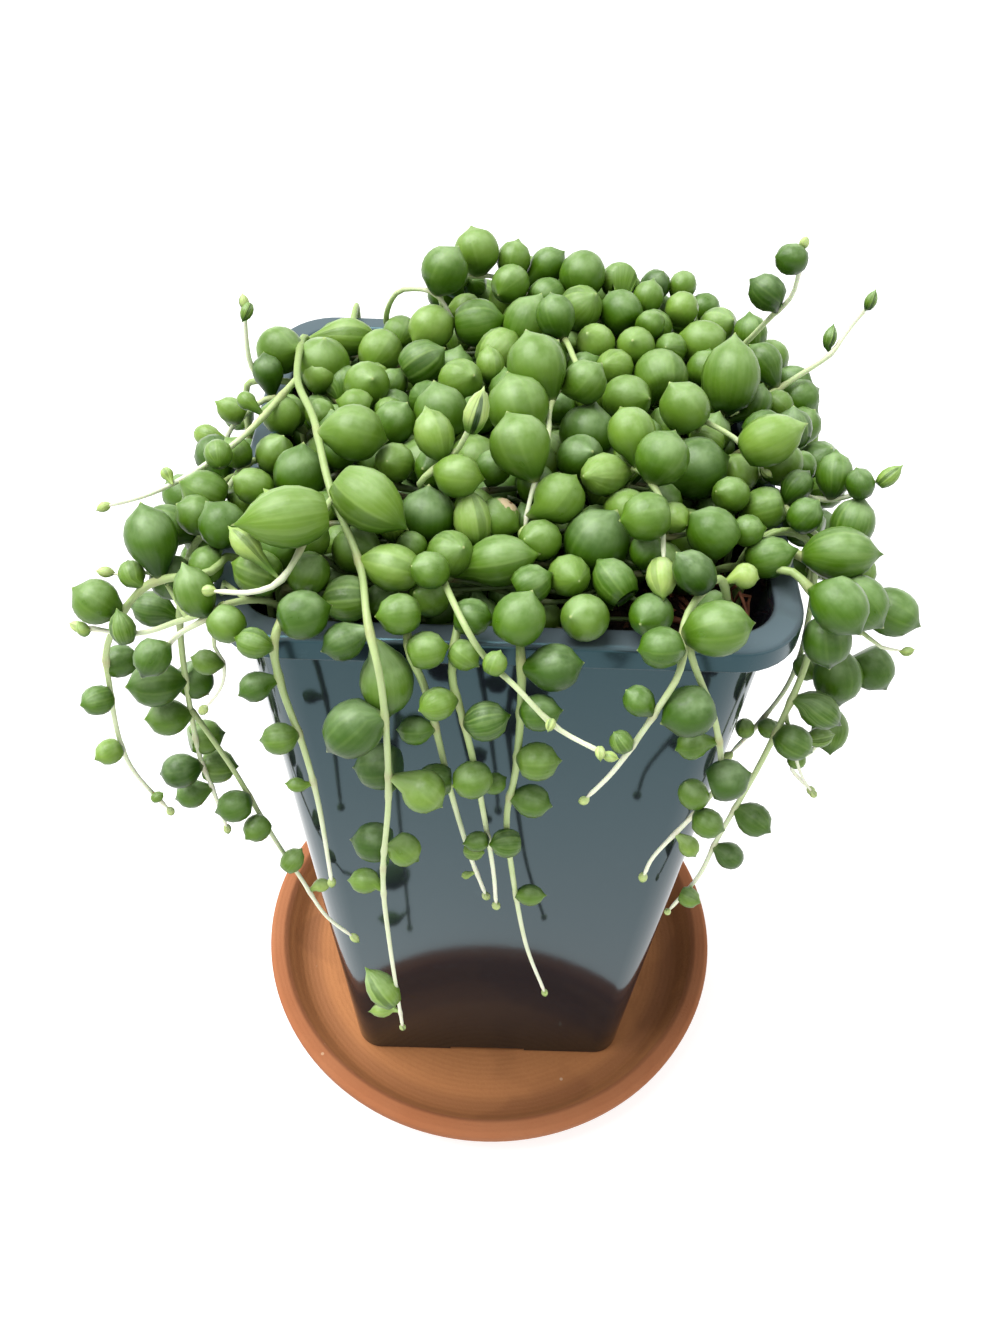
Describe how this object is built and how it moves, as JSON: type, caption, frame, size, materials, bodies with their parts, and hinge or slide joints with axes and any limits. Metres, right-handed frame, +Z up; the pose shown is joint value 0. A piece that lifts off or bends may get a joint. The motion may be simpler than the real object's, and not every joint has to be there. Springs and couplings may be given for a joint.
{
  "type": "potted string of pearls",
  "caption": "Trailing string of pearls succulent in a square tapered plastic pot with a rolled rim, standing on a round clay saucer.",
  "frame": {"origin": "centre of the saucer's flat underside", "axes": "+Z up, the pot's front face looks along -Y, and +X runs to the right of a viewer in front"},
  "size_m": [0.1353, 0.1184, 0.1954],
  "materials": {
    "clay": "unglazed terracotta, matt and slightly dusty",
    "pot_plastic": "satin slate blue moulded plastic, lightly scuffed",
    "soil": "dark crumbly potting mix with brown roots",
    "foliage": "waxy green pearls with a pale window stripe, on slim pale green stems"
  },
  "bodies": {
    "root": {"saucer": "clay", "pot": "pot_plastic", "soil": "soil", "row_rear": "foliage", "row_crest": "foliage", "row_back": "foliage", "row_behind": "foliage", "row_upper": "foliage", "row_middle": "foliage", "row_lower": "foliage", "row_before": "foliage", "row_front": "foliage", "strand_front_long": "foliage", "strand_front_left": "foliage", "strand_mid_front": "foliage", "strand_mid_fall": "foliage", "strand_centre_fall": "foliage", "strand_right_front": "foliage", "strand_right_long": "foliage", "strand_right_inner": "foliage", "strand_right_outer": "foliage", "strand_right_back": "foliage", "strand_right_up": "foliage", "strand_right_thin": "foliage", "strand_right_reach": "foliage", "strand_left_outer": "foliage", "strand_left_low": "foliage", "strand_left_inner": "foliage", "strand_left_crown": "foliage", "strand_left_back": "foliage", "strand_back_arch": "foliage", "strand_back_bow": "foliage", "strand_back_left": "foliage", "strand_back_centre_left": "foliage", "strand_back_centre": "foliage", "strand_back_centre_right": "foliage", "strand_back_right": "foliage", "strand_right_rear": "foliage", "strand_left_rear": "foliage"}
  },
  "joints": []
}
